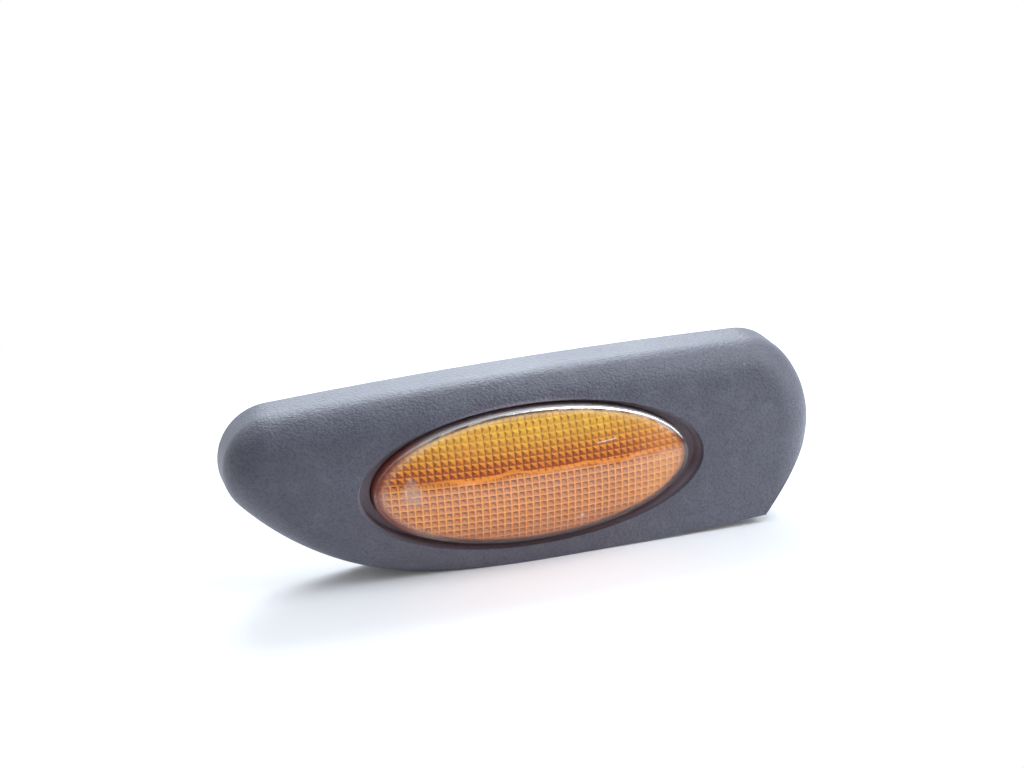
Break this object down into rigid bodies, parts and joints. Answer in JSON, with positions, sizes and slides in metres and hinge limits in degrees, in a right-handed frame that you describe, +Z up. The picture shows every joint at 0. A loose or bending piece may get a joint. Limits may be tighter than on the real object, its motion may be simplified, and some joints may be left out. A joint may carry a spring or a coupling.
{
  "type": "side repeater lamp",
  "caption": "Side repeater lamp for a car wing: a tapered black grained moulding with an oval domed amber prism lens, sealed housing, twist-lock bulb holder and clips.",
  "frame": {"origin": "where the lens axis meets the wing panel, in the plane of the moulding's rear rim", "axes": "+X along the moulding towards its blunt end, +Y into the panel, +Z up"},
  "size_m": [0.1816, 0.0614, 0.0581],
  "materials": {
    "trim_plastic": "fine leather grain, slate black",
    "amber_lens": "clear amber, polished outside, prisms inside",
    "housing_plastic": "smooth moulded black",
    "sealant": "cured sealing bead",
    "foam": "closed-cell foam",
    "seal_rubber": "smooth rubber",
    "zinc_steel": "zinc plated",
    "spring_steel": "phosphated spring steel",
    "holder_plastic": "smooth dark grey",
    "contact_brass": "stamped strip",
    "bulb_glass": "clear blown glass",
    "filament_wire": "drawn wire",
    "membrane": "thin breathable film"
  },
  "bodies": {
    "root": {"trim_moulding": "trim_plastic", "lens": "amber_lens", "lens_seal": "sealant", "lamp_housing": "housing_plastic", "panel_gasket": "foam", "housing_screws": "zinc_steel", "bulb_holder": "holder_plastic", "holder_seal": "seal_rubber", "contact_left": "contact_brass", "contact_right": "contact_brass", "bulb_envelope": "bulb_glass", "bulb_filament": "filament_wire", "lead_left": "filament_wire", "lead_right": "filament_wire", "breather_membrane": "membrane", "clip_seals": "foam", "retaining_clips": "spring_steel"}
  },
  "joints": []
}
